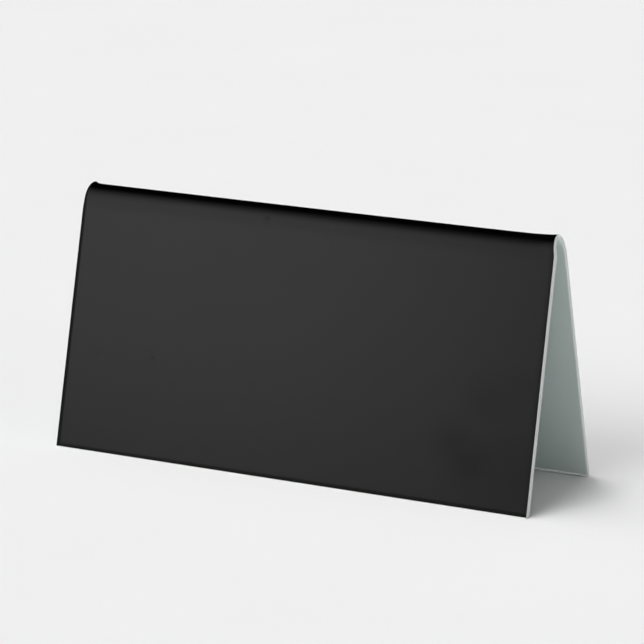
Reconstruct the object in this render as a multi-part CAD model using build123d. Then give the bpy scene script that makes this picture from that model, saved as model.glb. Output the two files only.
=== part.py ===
from build123d import *
import os
from math import cos, radians, sin

# A tent-fold desk name plate, free-standing and readable from two sides.
# One white acrylic sheet, cut square, is heated along its middle and bent into two leaning panels.
# A black vinyl film covers its outside, from the front foot over the ridge to the back foot,
# and a thin layer of clear adhesive holds the film to the sheet.
# +X runs along the ridge, +Y to the back and +Z up, from the table under the middle of the ridge.

# Driving dimensions, in millimetres and degrees.
plate_width = 203.2  # end to end, along the ridge
plate_height = 101.6  # from the table to the top of the ridge
panel_lean = 14.5  # of each panel from the vertical
sheet_thickness = 2.8
bend_radius = 3.0  # inside the bend
adhesive_thickness = 0.03
film_thickness = 0.1
trim_height = 0.7  # of the film's lower edges above the table

# The layers share the bend's axis, so each one starts at the radius where the last one ends.
sheet_radius = bend_radius + sheet_thickness
adhesive_radius = sheet_radius + adhesive_thickness
film_radius = adhesive_radius + film_thickness
axis_height = plate_height - film_radius

lean = radians(panel_lean)
FRONT = -1
BACK = 1


def section_point(side, radius, run):
    """A point of one panel, at a radius from the bend's axis and a run down from the bend."""
    return (
        side * (radius * cos(lean) + run * sin(lean)),
        axis_height + radius * sin(lean) - run * cos(lean),
    )


def run_to(height, radius):
    """How far a panel runs from the bend down to a height, at a radius from the bend's axis."""
    return (axis_height + radius * sin(lean) - height) / cos(lean)


def bent_layer(inner_radius, outer_radius, panel_run):
    """One layer of the bent plate, end to end, with its lower edges cut square to its panels."""
    outer_bend = ThreePointArc(
        section_point(FRONT, outer_radius, 0),
        (0, axis_height + outer_radius),
        section_point(BACK, outer_radius, 0),
    )
    inner_bend = ThreePointArc(
        section_point(BACK, inner_radius, 0),
        (0, axis_height + inner_radius),
        section_point(FRONT, inner_radius, 0),
    )
    back_panel = Polyline(
        outer_bend @ 1,
        section_point(BACK, outer_radius, panel_run),
        section_point(BACK, inner_radius, panel_run),
        inner_bend @ 0,
    )
    front_panel = Polyline(
        inner_bend @ 1,
        section_point(FRONT, inner_radius, panel_run),
        section_point(FRONT, outer_radius, panel_run),
        outer_bend @ 0,
    )
    section = make_face(outer_bend + back_panel + inner_bend + front_panel)
    return extrude(Plane.YZ * section, amount=plate_width / 2, both=True)


# The acrylic sheet: its panels are left overlong, and both feet are dressed flat at the table.
overlong_run = run_to(0, sheet_radius) + sheet_thickness
overlong_sheet = bent_layer(bend_radius, sheet_radius, overlong_run)
tent_sheet = split(overlong_sheet, bisect_by=Plane.XY, keep=Keep.TOP)

# The adhesive and the film lie on it, flush with its ends and trimmed just above its feet.
film_run = run_to(trim_height, film_radius)
film_adhesive = bent_layer(sheet_radius, adhesive_radius, film_run)
face_film = bent_layer(adhesive_radius, film_radius, film_run)

os.makedirs("parts", exist_ok=True)
export_step(tent_sheet, "parts/tent_sheet.step")
export_step(film_adhesive, "parts/film_adhesive.step")
export_step(face_film, "parts/face_film.step")

base_depth = 2 * section_point(BACK, sheet_radius, run_to(0, sheet_radius))[0]
print(f"film {film_run:.2f} mm from bend to trim, base {base_depth:.2f} mm deep")
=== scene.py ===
import math

import bmesh
import bpy
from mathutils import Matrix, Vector


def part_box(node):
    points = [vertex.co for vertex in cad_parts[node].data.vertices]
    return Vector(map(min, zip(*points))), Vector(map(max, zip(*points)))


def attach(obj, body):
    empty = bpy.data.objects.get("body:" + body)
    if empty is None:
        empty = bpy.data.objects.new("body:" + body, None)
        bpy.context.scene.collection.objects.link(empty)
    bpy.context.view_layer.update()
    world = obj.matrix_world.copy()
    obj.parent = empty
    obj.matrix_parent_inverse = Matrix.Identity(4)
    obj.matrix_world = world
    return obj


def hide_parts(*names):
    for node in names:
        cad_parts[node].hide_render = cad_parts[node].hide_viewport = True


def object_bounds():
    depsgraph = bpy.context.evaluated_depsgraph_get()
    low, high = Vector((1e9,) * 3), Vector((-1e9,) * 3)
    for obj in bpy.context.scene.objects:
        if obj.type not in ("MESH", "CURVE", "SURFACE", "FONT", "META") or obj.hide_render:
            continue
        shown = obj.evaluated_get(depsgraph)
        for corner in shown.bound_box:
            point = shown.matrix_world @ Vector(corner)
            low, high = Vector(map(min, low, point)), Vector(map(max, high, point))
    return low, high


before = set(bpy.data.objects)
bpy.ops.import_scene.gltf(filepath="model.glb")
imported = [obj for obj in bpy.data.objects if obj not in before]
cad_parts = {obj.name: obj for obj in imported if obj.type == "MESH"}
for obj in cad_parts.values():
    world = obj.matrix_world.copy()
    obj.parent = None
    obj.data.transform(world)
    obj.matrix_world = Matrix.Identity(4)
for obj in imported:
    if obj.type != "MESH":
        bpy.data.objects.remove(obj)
cad_low, cad_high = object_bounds()

# THE BENT SHEET
# One opaque white acrylic sheet, sawn at its ends, heated along its middle and folded over a bar.
# It carries the film, and it stands on its two lower edges, which are dressed flat to the table.
MM = 0.001
LEFT = -1
RIGHT = 1
lean = math.radians(14.5)
sheet_thickness = 2.8 * MM
bend_radius = 3.0 * MM
sheet_radius = bend_radius + sheet_thickness
sheet_low, sheet_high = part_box("tent_sheet")
table_height = sheet_low.z
half_width = sheet_high.x
axis_height = sheet_high.z - sheet_radius
bend_turn = math.pi / 2 - lean

# The heat reaches a little past the bend. It lifts the sheet's corners, draws its ends in, thins them and
# rounds their inside edges, and between the ends it lets the ridge sag.
middle_radius = bend_radius + sheet_thickness / 2
heat_centre = 0.7 * MM  # behind the top of the ridge
heat_past_bend = {LEFT: 6.2 * MM, RIGHT: 3.5 * MM}
end_lift = {LEFT: 1.05 * MM, RIGHT: 0.76 * MM}
lift_length = {LEFT: 0.9 * MM, RIGHT: 5.5 * MM}
end_draw = {LEFT: 1.38 * MM, RIGHT: 1.30 * MM}
draw_length = 6.0 * MM
inner_draw = 0.7  # of what the outside is drawn in
end_thinning = {LEFT: 0.3 * MM, RIGHT: 0.9 * MM}
heat_round = 0.7 * MM
ridge_sag = 0.10 * MM

# The saw leaves the ends out of square: narrower at the ridge, the back panel longer at its foot, and the
# inside longer or shorter than the outside by so much at the front and at the back.
ridge_narrowing = {LEFT: 0.3 * MM, RIGHT: 0.86 * MM}
back_runout = {LEFT: 0.0, RIGHT: 0.42 * MM}
out_of_square = {LEFT: (-0.15 * MM, -0.15 * MM), RIGHT: (0.2 * MM, 0.55 * MM)}

# The outside edges are rolled over, and the inside edges are slightly round. Dressing the feet squeezed out
# a small bead along the inside of each.
roll_width = 2.0 * MM
end_roll = {LEFT: 0.42 * MM, RIGHT: 0.12 * MM}
foot_roll = 0.2 * MM
inner_round = 0.25 * MM
bead_centre = 0.40 * MM
bead_half = 0.35 * MM
bead_depth = 1.0 * MM


def run_to(height, radius):
    """How far a panel runs from the bend down to a height, at a radius from the bend's axis."""
    return (axis_height + radius * math.sin(lean) - height) / math.cos(lean)


film_low, film_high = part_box("face_film")
trim_run = run_to(film_low.z, sheet_radius)


def graded(count):
    """Shares from 0 to 1 that lie closer together towards both ends."""
    return [(1 - math.cos(math.pi * i / count)) / 2 for i in range(count + 1)]


def layer_columns(panel_run, panel_steps=40, foot_steps=24, bend_steps=24):
    """Turn and run of each column of points, from the front foot over the ridge to the back foot."""
    foot_zone = 1.0 * MM
    panel = [(panel_run - foot_zone) * share for share in graded(panel_steps)]
    panel += [panel_run - foot_zone * (1 - i / foot_steps) for i in range(1, foot_steps + 1)]
    bend = [bend_turn * (2 * i / bend_steps - 1) for i in range(1, bend_steps)]
    front = [(-bend_turn, run) for run in reversed(panel)]
    back = [(bend_turn, run) for run in panel]
    return front + [(turn, 0.0) for turn in bend] + back


def rolled(drop, distance):
    """How far a rolled-over edge has dropped at a distance from it."""
    return drop * min(1.0, max(0.0, 1 - distance / roll_width)) ** 2


def layer_point(radius, turn, run, x):
    """Where a point of the bent plate lies, with what the heat, the saw and the dressing did to it."""
    depth = (sheet_radius - radius) / sheet_thickness
    inside = depth > 0.5
    end = RIGHT if x > 0 else LEFT
    from_end = half_width - abs(x)
    near_end = math.exp(-from_end / draw_length)

    # How far the heat has moved the point outwards or inwards, and what the edges have lost.
    from_heat = abs(middle_radius * turn + math.copysign(run, turn) - heat_centre)
    heat_reach = middle_radius * bend_turn + heat_past_bend[end]
    heated = math.cos(min(1.0, from_heat / heat_reach) * math.pi / 2) ** 2
    lift = end_lift[end] * heated * math.exp(-from_end / lift_length[end])
    sag = ridge_sag * heated * (1 - (x / half_width) ** 2)
    if inside:
        edge_round = inner_round + heat_round * heated
        into_round = max(0.0, edge_round - from_end)
        thinned = end_thinning[end] * heated * near_end
        eased = edge_round - math.sqrt(edge_round**2 - into_round**2) + thinned
    else:
        eased = -max(rolled(end_roll[end], from_end), rolled(foot_roll, trim_run - run))
    reach = radius + eased + lift - sag
    y = reach * math.sin(turn) + math.copysign(run * math.sin(lean), turn)
    z = axis_height + reach * math.cos(turn) - run * math.cos(lean)
    if inside:
        from_bead = min(1.0, abs(z - bead_centre) / bead_half)
        y -= math.copysign(bead_depth * math.sqrt(1 - from_bead**2), turn)

    # How far the end is drawn in by the heat and sawn out of square.
    behind = (1 + turn / bend_turn) / 2
    rise = z / sheet_high.z
    draw = end_draw[end] * heated * near_end * (1 - (1 - inner_draw) * depth)
    at_front, at_back = out_of_square[end]
    longer = (at_front + (at_back - at_front) * behind) * depth * near_end
    x += end * (longer - draw)
    x *= 1 - (ridge_narrowing[end] * rise - back_runout[end] * behind * (1 - rise)) / half_width
    return Vector((x, y, max(z, table_height)))


def bent_layer(name, inner_radius, inner_run, outer_radius, outer_run, skew=0.0, rows=96):
    """A closed mesh of one layer, from end to end and foot to foot; a skew makes it longer to the right."""
    crisp_edge = math.radians(50)
    mesh = bmesh.new()
    places = [half_width * (2 * share - 1) for share in graded(rows)]
    skins = []
    for radius, panel_run in ((outer_radius, outer_run), (inner_radius, inner_run)):
        skin = []
        for x in places:
            columns = layer_columns(panel_run + skew * x / half_width)
            skin.append([mesh.verts.new(layer_point(radius, *column, x)) for column in columns])
        skins.append(skin)
    outer, inner = skins
    steps = len(outer[0]) - 1
    for i in range(rows):
        for j in range(steps):
            mesh.faces.new((outer[i][j], outer[i + 1][j], outer[i + 1][j + 1], outer[i][j + 1]))
            mesh.faces.new((inner[i][j], inner[i][j + 1], inner[i + 1][j + 1], inner[i + 1][j]))
        for j in (0, -1):
            mesh.faces.new((outer[i][j], inner[i][j], inner[i + 1][j], outer[i + 1][j]))
    for j in range(steps):
        for i in (0, -1):
            mesh.faces.new((outer[i][j], inner[i][j], inner[i][j + 1], outer[i][j + 1]))
    bmesh.ops.recalc_face_normals(mesh, faces=mesh.faces)
    data = bpy.data.meshes.new(name)
    mesh.to_mesh(data)
    mesh.free()
    data.shade_smooth()
    data.set_sharp_from_angle(angle=crisp_edge)
    piece = bpy.data.objects.new(name, data)
    bpy.context.scene.collection.objects.link(piece)
    return piece


def add_node(tree, kind, sockets, **settings):
    """Adds a shader node with its settings, sets or links its inputs, and gives its outputs by name."""
    made = tree.nodes.new(kind)
    for name, value in settings.items():
        setattr(made, name, value)
    inputs = {socket.name: socket for socket in reversed(made.inputs) if socket.enabled}
    for key, value in sockets.items():
        socket = made.inputs[key] if isinstance(key, int) else inputs[key]
        if isinstance(value, bpy.types.NodeSocket):
            tree.links.new(value, socket)
        else:
            socket.default_value = value
    return {socket.name: socket for socket in made.outputs if socket.enabled}


def linear(code):
    """A linear colour from an sRGB hex code."""
    shares = [int(code[i : i + 2], 16) / 255 for i in (1, 3, 5)]
    return [s / 12.92 if s <= 0.04045 else ((s + 0.055) / 1.055) ** 2.4 for s in shares] + [1.0]


def new_material(name):
    """An empty material, its node tree, and the place of each point in the frame."""
    material = bpy.data.materials.new(name)
    material.use_nodes = True
    tree = material.node_tree
    tree.nodes.clear()
    return material, tree, add_node(tree, "ShaderNodeTexCoord", {})["Object"]


def sawn_white_acrylic():
    """Cool opal white, smooth and half glossy; the sawn ends are dull and finely lined, and the feet are
    painted paler as a painted highlight.
    """
    material, tree, place = new_material("white_acrylic_sawn_sheet")
    face_roughness = 0.35
    face_unevenness = 0.05
    sawn_roughness = 0.65
    cloud_size = 35 * MM
    end_faces = 0.8  # how squarely a sawn end faces sideways, at least
    end_fade = 0.2
    tooth_mark = 0.8 * MM  # drawn about four times as coarse as a fine saw's marks, to show at all
    tooth_depth = 0.05 * MM
    tooth_strength = 0.4
    across_thickness = (0.0, 0.25, 1.0)  # the saw's marks run four times as far across the edge as along it
    # Below this height the sheet is painted paler, a painted highlight along the feet; the beads' tool steps
    # keep to the same height.
    painted_highlight_and_bead_height = 0.9 * MM
    painted_highlight_fade = 0.18 * MM
    chatter_step = 0.9 * MM
    chatter_depth = 0.4 * MM
    waves_in_scale = 20 / (2 * math.pi)  # how many waves a wave texture draws in a unit, at a scale of 1
    foot_inside = sheet_high.y - sheet_thickness / math.cos(lean)

    # The ends are told apart by where they face, and the beads by their place, low down inside the feet.
    facing = add_node(tree, "ShaderNodeNewGeometry", {})["Normal"]
    facing_x = add_node(tree, "ShaderNodeSeparateXYZ", {"Vector": facing})["X"]
    sideways = add_node(tree, "ShaderNodeMath", {0: facing_x}, operation="ABSOLUTE")["Value"]
    sawn = add_node(
        tree,
        "ShaderNodeMapRange",
        {"Value": sideways, "From Min": end_faces - end_fade, "From Max": end_faces},
    )["Result"]
    axes = add_node(tree, "ShaderNodeSeparateXYZ", {"Vector": place})
    # Painted highlight: this mask paints the sheet paler below that height, on the feet and the beads alike.
    low = add_node(
        tree,
        "ShaderNodeMapRange",
        {"Value": axes["Z"], "From Min": painted_highlight_and_bead_height + painted_highlight_fade, "From Max": painted_highlight_and_bead_height},
    )["Result"]
    below = add_node(tree, "ShaderNodeMath", {0: axes["Z"], 1: painted_highlight_and_bead_height}, operation="LESS_THAN")["Value"]
    from_middle = add_node(tree, "ShaderNodeMath", {0: axes["Y"]}, operation="ABSOLUTE")["Value"]
    inside = add_node(
        tree, "ShaderNodeMath", {0: from_middle, 1: foot_inside}, operation="LESS_THAN"
    )["Value"]
    on_bead = add_node(tree, "ShaderNodeMath", {0: below, 1: inside}, operation="MULTIPLY")["Value"]

    cloud = add_node(
        tree, "ShaderNodeTexNoise", {"Vector": place, "Scale": 1 / cloud_size, "Detail": 3.0}
    )["Fac"]
    on_edge = add_node(
        tree, "ShaderNodeVectorMath", {0: place, 1: across_thickness}, operation="MULTIPLY"
    )["Vector"]
    marks = add_node(
        tree, "ShaderNodeTexNoise", {"Vector": on_edge, "Scale": 1 / tooth_mark, "Detail": 2.0}
    )["Fac"]
    face_colour = add_node(
        tree,
        "ShaderNodeMix",
        {"Factor": cloud, "A": linear("#D8E4E1"), "B": linear("#E0E9E6")},
        data_type="RGBA",
    )["Result"]
    # The face colour turns paler low on the feet. This is a painted highlight, not the sheet's own colour.
    colour_with_painted_foot_highlight = add_node(
        tree, "ShaderNodeMix", {"Factor": low, "A": face_colour, "B": linear("#F4F6F5")}, data_type="RGBA"
    )["Result"]
    end_colour = add_node(
        tree,
        "ShaderNodeMix",
        {"Factor": marks, "A": linear("#CFD2D0"), "B": linear("#DFE1DF")},
        data_type="RGBA",
    )["Result"]
    colour = add_node(
        tree, "ShaderNodeMix", {"Factor": sawn, "A": colour_with_painted_foot_highlight, "B": end_colour}, data_type="RGBA"
    )["Result"]
    smoothest = face_roughness - face_unevenness
    roughest = face_roughness + face_unevenness
    face_gloss = add_node(
        tree, "ShaderNodeMapRange", {"Value": cloud, "To Min": smoothest, "To Max": roughest}
    )["Result"]
    gloss = add_node(tree, "ShaderNodeMix", {"Factor": sawn, "A": face_gloss, "B": sawn_roughness})["Result"]

    # The saw's fine lines on the ends, and on the beads the regular steps that the dressing tool left.
    cut = add_node(tree, "ShaderNodeMath", {0: marks, 1: sawn}, operation="MULTIPLY")["Value"]
    saw_relief = add_node(
        tree, "ShaderNodeBump", {"Height": cut, "Strength": tooth_strength, "Distance": tooth_depth}
    )["Normal"]
    chatter = add_node(
        tree,
        "ShaderNodeTexWave",
        {"Vector": place, "Scale": 1 / (waves_in_scale * chatter_step), "Distortion": 0.0},
        bands_direction="X",
        wave_profile="SAW",
    )["Fac"]
    relief = add_node(
        tree,
        "ShaderNodeBump",
        {"Height": chatter, "Strength": on_bead, "Distance": chatter_depth, "Normal": saw_relief},
        invert=True,
    )["Normal"]
    shader = add_node(
        tree,
        "ShaderNodeBsdfPrincipled",
        {"Base Color": colour, "Roughness": gloss, "Normal": relief, "IOR": 1.49},
    )["BSDF"]
    add_node(tree, "ShaderNodeOutputMaterial", {"Surface": shader})
    return material


inner_foot_run = run_to(table_height, bend_radius)
outer_foot_run = run_to(table_height, sheet_radius)
bent_sheet = bent_layer("bent_sheet", bend_radius, inner_foot_run, sheet_radius, outer_foot_run)
bent_sheet.data.materials.append(sawn_white_acrylic())
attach(bent_sheet, "root")
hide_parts("tent_sheet")

# THE ADHESIVE
# The clear acrylic adhesive on the film's back, rolled down on the sheet's outside.
# Only its edges show, as a hairline between the white sheet and the black film.
adhesive_radius = sheet_radius + 0.03 * MM
trim_skew = 0.10 * MM  # the knife's cut at the feet isn't quite level


def clear_adhesive():
    """Clear and glossy; edge-on, a grey line that is duller where dust has stuck to it."""
    material, tree, place = new_material("clear_acrylic_adhesive")
    clean = 0.15
    dusty = 0.5
    dust_size = 1.5 * MM
    dust = add_node(
        tree, "ShaderNodeTexNoise", {"Vector": place, "Scale": 1 / dust_size, "Detail": 2.0}
    )["Fac"]
    colour = add_node(
        tree,
        "ShaderNodeMix",
        {"Factor": dust, "A": linear("#A4A6A2"), "B": linear("#858783")},
        data_type="RGBA",
    )["Result"]
    gloss = add_node(tree, "ShaderNodeMapRange", {"Value": dust, "To Min": clean, "To Max": dusty})["Result"]
    shader = add_node(
        tree, "ShaderNodeBsdfPrincipled", {"Base Color": colour, "Roughness": gloss, "IOR": 1.47}
    )["BSDF"]
    add_node(tree, "ShaderNodeOutputMaterial", {"Surface": shader})
    return material


adhesive_layer = bent_layer("adhesive_layer", sheet_radius, trim_run, adhesive_radius, trim_run, trim_skew)
adhesive_layer.data.materials.append(clear_adhesive())
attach(adhesive_layer, "root")
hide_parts("film_adhesive")

# THE FACE FILM
# One sheet of black cast vinyl over the whole outside, from the front foot over the ridge to the back foot.
# A knife trims it flush with the sheet's ends and just above its feet.
film_radius = adhesive_radius + 0.1 * MM


def satin_black_vinyl():
    """Deep black with a soft satin sheen, glossier where stretched over the ridge and duller where worn."""
    material, tree, place = new_material("black_vinyl_satin_film")
    satin = 0.46
    satin_unevenness = 0.02
    warm_dulling = 0.06
    stretched = 0.2
    dull = 0.95
    patch_size = 45 * MM
    peel_size = 0.7 * MM
    peel_depth = 0.02 * MM
    peel_strength = 0.15
    axes = add_node(tree, "ShaderNodeSeparateXYZ", {"Vector": place})

    # A few soft specks of dust under the film.
    speck_spacing = 20 * MM
    speck_size = 1.7 * MM
    speck_strength = 0.35
    specks = add_node(
        tree, "ShaderNodeTexVoronoi", {"Vector": place, "Scale": 1 / speck_spacing}
    )["Distance"]
    spoiled = add_node(
        tree,
        "ShaderNodeMapRange",
        {"Value": specks, "From Min": speck_size / speck_spacing, "From Max": 0.0, "To Max": speck_strength},
        interpolation_type="SMOOTHSTEP",
    )["Result"]

    # The knife and the squeegee dull the film along its trimmed edges, least at the right end.
    dull_width = 0.9 * MM
    fade_width = 1.9 * MM
    left_edge = 0.4 * MM - half_width  # where the heat and the saw leave it, on the whole
    for axis, edge, inward, strength in (
        ("X", left_edge, 1, 1.0),
        ("X", half_width, -1, 0.35),
        ("Z", film_low.z, 1, 0.85),
    ):
        band = add_node(
            tree,
            "ShaderNodeMapRange",
            {
                "Value": axes[axis],
                "From Min": edge + inward * fade_width,
                "From Max": edge + inward * dull_width,
                "To Max": strength,
            },
            interpolation_type="SMOOTHSTEP",
        )["Result"]
        spoiled = add_node(tree, "ShaderNodeMath", {0: spoiled, 1: band}, operation="MAXIMUM")["Value"]

    # Finger marks on the front, near its lower right corner: two that run together, two faint ones above
    # and a broad faint one beside them.
    mark_grain = 4 * MM
    no_grip = -0.3  # of the grain, where the skin would leave nothing
    full_grip = 0.75
    grain = add_node(
        tree, "ShaderNodeTexNoise", {"Vector": place, "Scale": 1 / mark_grain, "Detail": 3.0}
    )["Fac"]
    grip = add_node(
        tree, "ShaderNodeMapRange", {"Value": grain, "From Min": no_grip, "From Max": full_grip}
    )["Result"]
    for right, up, size, strength in (
        (69 * MM, 23 * MM, 14 * MM, 0.30),
        (77 * MM, 17 * MM, 17 * MM, 0.42),
        (82 * MM, 41 * MM, 16 * MM, 0.20),
        (95 * MM, 47 * MM, 13 * MM, 0.18),
        (95 * MM, 15 * MM, 28 * MM, 0.27),
    ):
        front = (up - film_low.z) * math.tan(lean) - film_high.y
        centre = (right, front, up)
        away = add_node(tree, "ShaderNodeVectorMath", {0: place, 1: centre}, operation="DISTANCE")["Value"]
        mark = add_node(
            tree,
            "ShaderNodeMapRange",
            {"Value": away, "From Min": size, "From Max": 0.0, "To Max": strength},
            interpolation_type="SMOOTHSTEP",
        )["Result"]
        broken = add_node(tree, "ShaderNodeMath", {0: mark, 1: grip}, operation="MULTIPLY")["Value"]
        spoiled = add_node(tree, "ShaderNodeMath", {0: spoiled, 1: broken}, operation="MAXIMUM")["Value"]

    # The heat of the bend dulls the film a little beside the ridge, and on the ridge it is stretched smooth.
    warm_from = cad_high.z - 9.5 * MM
    warm_to = cad_high.z - 5.5 * MM
    stretch_from = cad_high.z - 1.7 * MM
    stretch_to = cad_high.z - 0.2 * MM
    patches = add_node(
        tree, "ShaderNodeTexNoise", {"Vector": place, "Scale": 1 / patch_size, "Detail": 4.0}
    )["Fac"]
    uneven = add_node(
        tree,
        "ShaderNodeMapRange",
        {"Value": patches, "To Min": satin - satin_unevenness, "To Max": satin + satin_unevenness},
    )["Result"]
    warmth = add_node(
        tree,
        "ShaderNodeMapRange",
        {"Value": axes["Z"], "From Min": warm_from, "From Max": warm_to, "To Max": warm_dulling},
        interpolation_type="SMOOTHSTEP",
    )["Result"]
    warmed = add_node(tree, "ShaderNodeMath", {0: uneven, 1: warmth}, operation="ADD")["Value"]
    stretch = add_node(
        tree,
        "ShaderNodeMapRange",
        {"Value": axes["Z"], "From Min": stretch_from, "From Max": stretch_to},
        interpolation_type="SMOOTHSTEP",
    )["Result"]
    drawn = add_node(tree, "ShaderNodeMix", {"Factor": stretch, "A": warmed, "B": stretched})["Result"]
    gloss = add_node(tree, "ShaderNodeMix", {"Factor": spoiled, "A": drawn, "B": dull})["Result"]

    colour = add_node(
        tree,
        "ShaderNodeMix",
        {"Factor": patches, "A": linear("#000000"), "B": linear("#020202")},
        data_type="RGBA",
    )["Result"]
    peel = add_node(
        tree, "ShaderNodeTexNoise", {"Vector": place, "Scale": 1 / peel_size, "Detail": 1.0}
    )["Fac"]
    relief = add_node(
        tree, "ShaderNodeBump", {"Height": peel, "Strength": peel_strength, "Distance": peel_depth}
    )["Normal"]
    shader = add_node(
        tree,
        "ShaderNodeBsdfPrincipled",
        {"Base Color": colour, "Roughness": gloss, "Normal": relief, "IOR": 1.46},
    )["BSDF"]
    add_node(tree, "ShaderNodeOutputMaterial", {"Surface": shader})
    return material


face_film = bent_layer("face_film_black", adhesive_radius, trim_run, film_radius, trim_run, trim_skew)
face_film.data.materials.append(satin_black_vinyl())
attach(face_film, "root")
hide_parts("face_film")

# THE TABLE
# A broad table top with a pale matt paint, on which the plate stands.
# It is stage only, wide enough to fill every view.
scene = bpy.context.scene
table_reach = 20.0


def matt_table_paint():
    """Pale and matt, so that only the shadows show on it; slightly uneven."""
    material, tree, place = new_material("table_matt_paint")
    patch_size = 90 * MM
    patches = add_node(tree, "ShaderNodeTexNoise", {"Vector": place, "Scale": 1 / patch_size})["Fac"]
    colour = add_node(
        tree,
        "ShaderNodeMix",
        {"Factor": patches, "A": linear("#E9E9E9"), "B": linear("#EBEBEB")},
        data_type="RGBA",
    )["Result"]
    shader = add_node(
        tree, "ShaderNodeBsdfPrincipled", {"Base Color": colour, "Roughness": 0.9, "Specular IOR Level": 0.0}
    )["BSDF"]
    add_node(tree, "ShaderNodeOutputMaterial", {"Surface": shader})
    return material


table_mesh = bpy.data.meshes.new("table")
square = ((-1, -1), (1, -1), (1, 1), (-1, 1))
corners = [(x * table_reach, y * table_reach, table_height) for x, y in square]
table_mesh.from_pydata(corners, [], [(0, 1, 2, 3)])
table_mesh.materials.append(matt_table_paint())
table = bpy.data.objects.new("table", table_mesh)
scene.collection.objects.link(table)

# THE LIGHT AND THE CAMERA
# Broad soft lamps in a dark studio light the plate and the table. Two cards give the film on each face its
# sheen, and a low one on the right glints on the beads inside the feet.
# The camera looks from the front, the right and a little above.
scene.view_settings.view_transform = "Standard"
studio_glow = 0.0005
world = bpy.data.worlds.new("dark_studio")
world.use_nodes = True
walls = world.node_tree
walls.nodes.clear()
glow = add_node(
    walls, "ShaderNodeBackground", {"Color": linear("#FFFFFF"), "Strength": studio_glow}
)["Background"]
add_node(walls, "ShaderNodeOutputWorld", {"Surface": glow})
scene.world = world


def direction(azimuth, elevation):
    """A unit vector, by degrees from the front towards the right and degrees up from the table."""
    turn = math.radians(azimuth)
    rise = math.radians(elevation)
    return Vector((math.sin(turn) * math.cos(rise), -math.cos(turn) * math.cos(rise), math.sin(rise)))


def soft_lamp(name, azimuth, elevation, spread, strength):
    """A broad lamp that lights the object and the table, and doesn't mirror in the film."""
    lamp = bpy.data.lights.new(name, "SUN")
    lamp.energy = strength
    lamp.angle = math.radians(spread)
    holder = bpy.data.objects.new(name, lamp)
    holder.rotation_euler = direction(azimuth, elevation).to_track_quat("Z", "Y").to_euler()
    holder.visible_glossy = False
    scene.collection.objects.link(holder)


def soft_card(name, azimuth, elevation, distance, width, height, brightness, only_in=None):
    """A white card aimed at the plate's middle. It only mirrors, in every glossy piece or in one alone."""
    card = bpy.data.lights.new(name, "AREA")
    card.shape = "RECTANGLE"
    card.size = width
    card.size_y = height
    card.energy = math.pi * brightness * width * height
    holder = bpy.data.objects.new(name, card)
    towards = direction(azimuth, elevation)
    holder.location = towards * distance + Vector((0, 0, cad_high.z / 2))
    holder.rotation_euler = towards.to_track_quat("Z", "Y").to_euler()
    holder.visible_diffuse = False
    if only_in:
        mirrors = bpy.data.collections.new(name)
        mirrors.objects.link(only_in)
        holder.light_linking.receiver_collection = mirrors
    scene.collection.objects.link(holder)


soft_lamp("front_key", azimuth=-20, elevation=40, spread=35, strength=1.61)
soft_lamp("overhead", azimuth=0, elevation=84, spread=45, strength=1.02)
soft_lamp("high_left", azimuth=-90, elevation=62, spread=40, strength=0.71)
soft_lamp("top_left", azimuth=-90, elevation=78, spread=12, strength=0.30)
soft_lamp("back_left", azimuth=-120, elevation=62, spread=40, strength=0.245)
soft_lamp("right_fill", azimuth=80, elevation=9, spread=40, strength=0.76)

face_card = {"elevation": 26, "distance": 0.310, "width": 0.327, "height": 0.320}
soft_card("front_card", azimuth=-32, brightness=1.43, **face_card)
soft_card("back_card", azimuth=148, brightness=0.50, **face_card)
foot_card = {"elevation": 2, "distance": 0.450, "width": 0.250, "height": 0.120}
soft_card("right_card", azimuth=82, brightness=13.0, only_in=bent_sheet, **foot_card)

camera_azimuth = 26.427
camera_elevation = 15.249
camera_distance = 1.3676
aim_right = 1.28 * MM
aim_up = 54.53 * MM
lens = bpy.data.cameras.new("camera")
lens.sensor_width = 36.0
lens.lens = 194.52
camera = bpy.data.objects.new("camera", lens)
view = direction(camera_azimuth, camera_elevation).to_track_quat("Z", "Y")
aim = view @ Vector((aim_right, aim_up, 0.0))
camera.location = aim + direction(camera_azimuth, camera_elevation) * camera_distance
camera.rotation_euler = view.to_euler()
scene.collection.objects.link(camera)
scene.camera = camera
